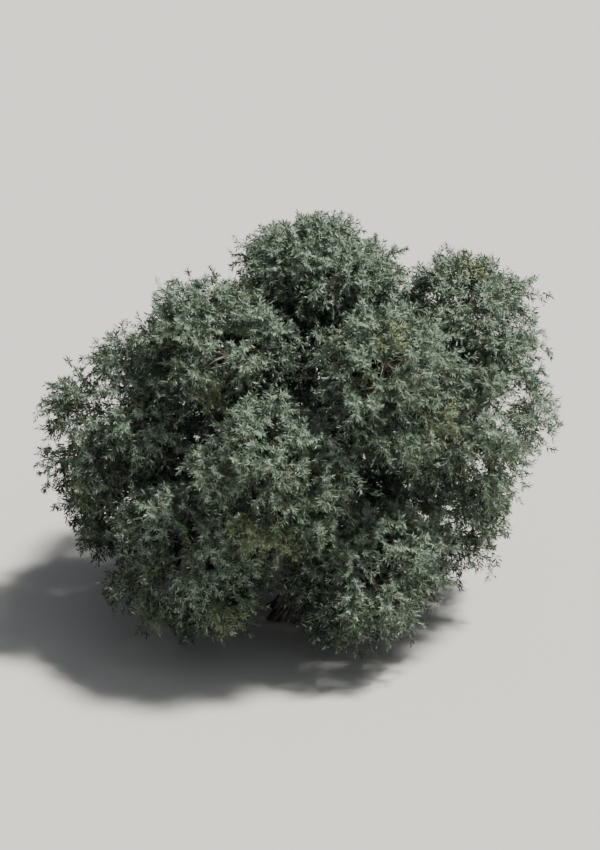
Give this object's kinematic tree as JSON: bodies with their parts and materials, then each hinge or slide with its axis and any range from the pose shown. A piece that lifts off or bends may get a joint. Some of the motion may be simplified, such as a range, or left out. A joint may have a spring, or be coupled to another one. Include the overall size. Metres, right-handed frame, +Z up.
{
  "type": "field-grown olive tree",
  "caption": "Broad round olive tree on a short fluted trunk, with rising limbs and masses of leafy sprays that hang almost to the ground.",
  "frame": {"origin": "middle of the flat cut under the trunk at ground level", "axes": "+Z up along the trunk, +X along the crown's greatest spread; the side seen in the picture faces -Y"},
  "size_m": [6.9612, 5.9753, 5.6769],
  "materials": {
    "bark": "rough, fissured grey bark",
    "young_bark": "smoother grey bark of the boughs and twigs",
    "leaves": "leathery grey-green leaves, silvery underneath"
  },
  "bodies": {
    "root": {"scaffold_limb_1": "bark", "scaffold_limb_2": "bark", "scaffold_limb_3": "bark", "scaffold_limb_4": "bark", "scaffold_limb_5": "bark", "shoulder_bough_1": "young_bark", "shoulder_bough_2": "young_bark", "shoulder_bough_3": "young_bark", "shoulder_bough_4": "young_bark", "shoulder_foliage_1": "leaves", "shoulder_foliage_2": "leaves", "shoulder_foliage_3": "leaves", "shoulder_foliage_4": "leaves", "skirt_bough_1": "young_bark", "skirt_bough_2": "young_bark", "skirt_bough_3": "young_bark", "skirt_bough_4": "young_bark", "skirt_bough_5": "young_bark", "skirt_foliage_1": "leaves", "skirt_foliage_2": "leaves", "skirt_foliage_3": "leaves", "skirt_foliage_4": "leaves", "skirt_foliage_5": "leaves", "top_bough": "young_bark", "top_foliage": "leaves", "trunk": "bark", "waist_foliage_1": "leaves", "waist_foliage_2": "leaves", "waist_foliage_3": "leaves", "waist_foliage_4": "leaves", "waist_foliage_5": "leaves"}
  },
  "joints": []
}
